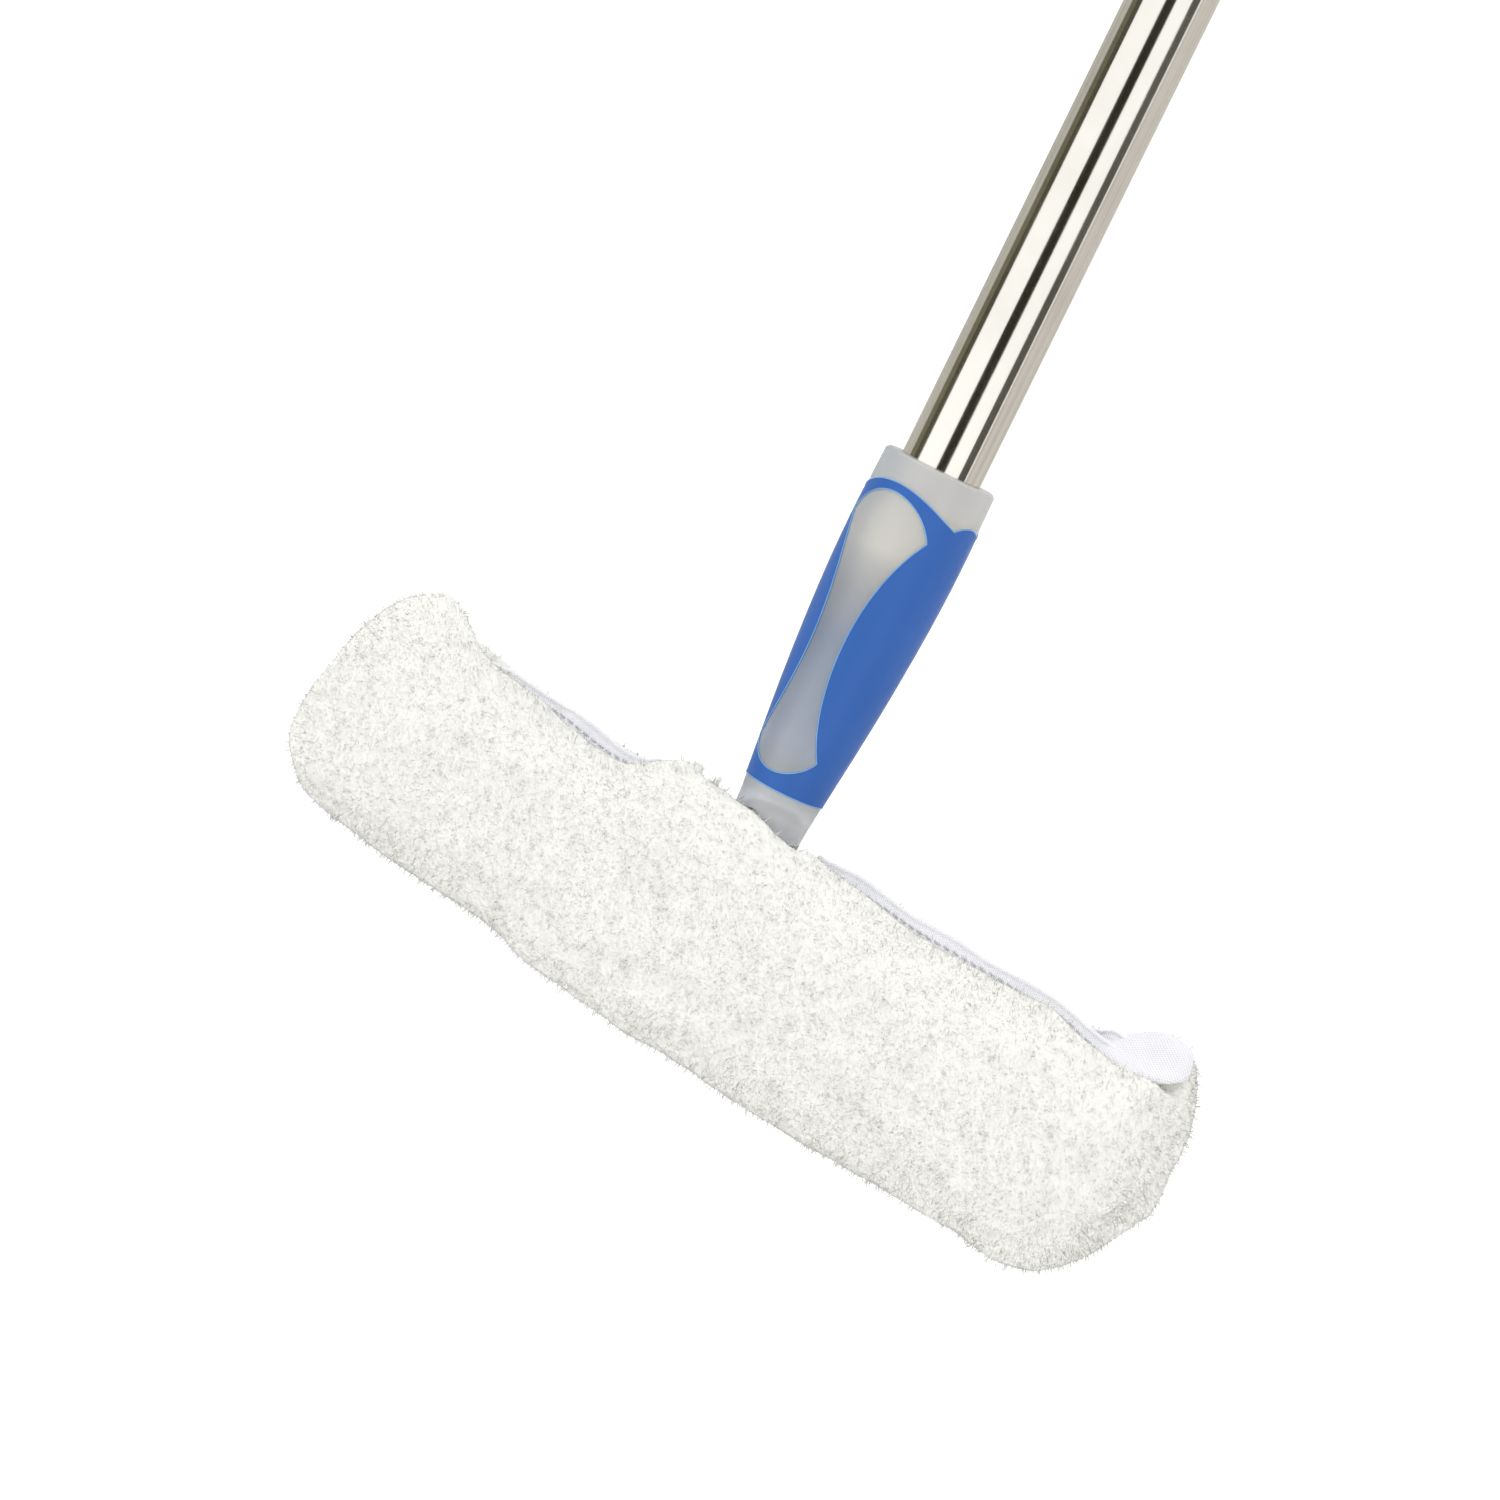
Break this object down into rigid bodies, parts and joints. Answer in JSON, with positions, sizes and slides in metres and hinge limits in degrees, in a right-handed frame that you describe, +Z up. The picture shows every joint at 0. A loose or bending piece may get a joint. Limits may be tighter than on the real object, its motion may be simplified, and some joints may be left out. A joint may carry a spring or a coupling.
{
  "type": "window washing mop",
  "caption": "Plush-sleeved flat washing mop: swivelling T-bar, tapered two-colour grip and twist-lock telescopic stainless pole.",
  "frame": {"origin": "centre of the hanging eye in the end cap", "axes": "+Z up along the pole, +X along the head, +Y from the head's front to its back, along the eye"},
  "size_m": [0.308, 0.046, 0.91],
  "materials": {
    "stainless": "mirror polished",
    "clear_plastic": "milky, satin",
    "blue_plastic": "satin",
    "white_plastic": "satin",
    "fixing_steel": "plain",
    "seal_rubber": "matte",
    "plush": "dense short pile",
    "woven_cloth": "woven"
  },
  "bodies": {
    "upper_pole": {"end_cap": "blue_plastic", "upper_tube": "stainless", "hand_grip_core": "clear_plastic", "hand_grip_skin": "blue_plastic", "lock_base": "white_plastic", "lock_clip": "fixing_steel"},
    "lock": {"lock_collar": "blue_plastic", "clamp_ring": "white_plastic", "wiper_seal": "seal_rubber"},
    "lower_pole": {"lower_tube": "stainless", "guide_bush": "white_plastic", "tube_end_plug": "white_plastic", "grip_rivet": "fixing_steel", "grip_core": "clear_plastic", "grip_skin": "blue_plastic", "pivot_pin": "fixing_steel", "pivot_clip": "fixing_steel"},
    "head": {"t_bar": "white_plastic", "bar_end_caps": "white_plastic", "backing_cloth": "woven_cloth", "pile_cover": "plush", "loop_tape": "woven_cloth", "hook_tape": "woven_cloth", "hem_binding": "woven_cloth"}
  },
  "joints": [
    {"name": "pole_slide", "type": "slide", "parent": "upper_pole", "child": "lower_pole", "axis": [0, 0, -1], "range_m": [-0.18, 0.2]},
    {"name": "lock_twist", "type": "hinge", "parent": "upper_pole", "child": "lock", "pos_m": [0, 0, -0.484], "axis": [0, 0, 1], "range_deg": [0, 90]},
    {"name": "head_swivel", "type": "hinge", "parent": "lower_pole", "child": "head", "pos_m": [0, 0, -0.826], "axis": [0, 1, 0], "range_deg": [-40, 40]}
  ]
}
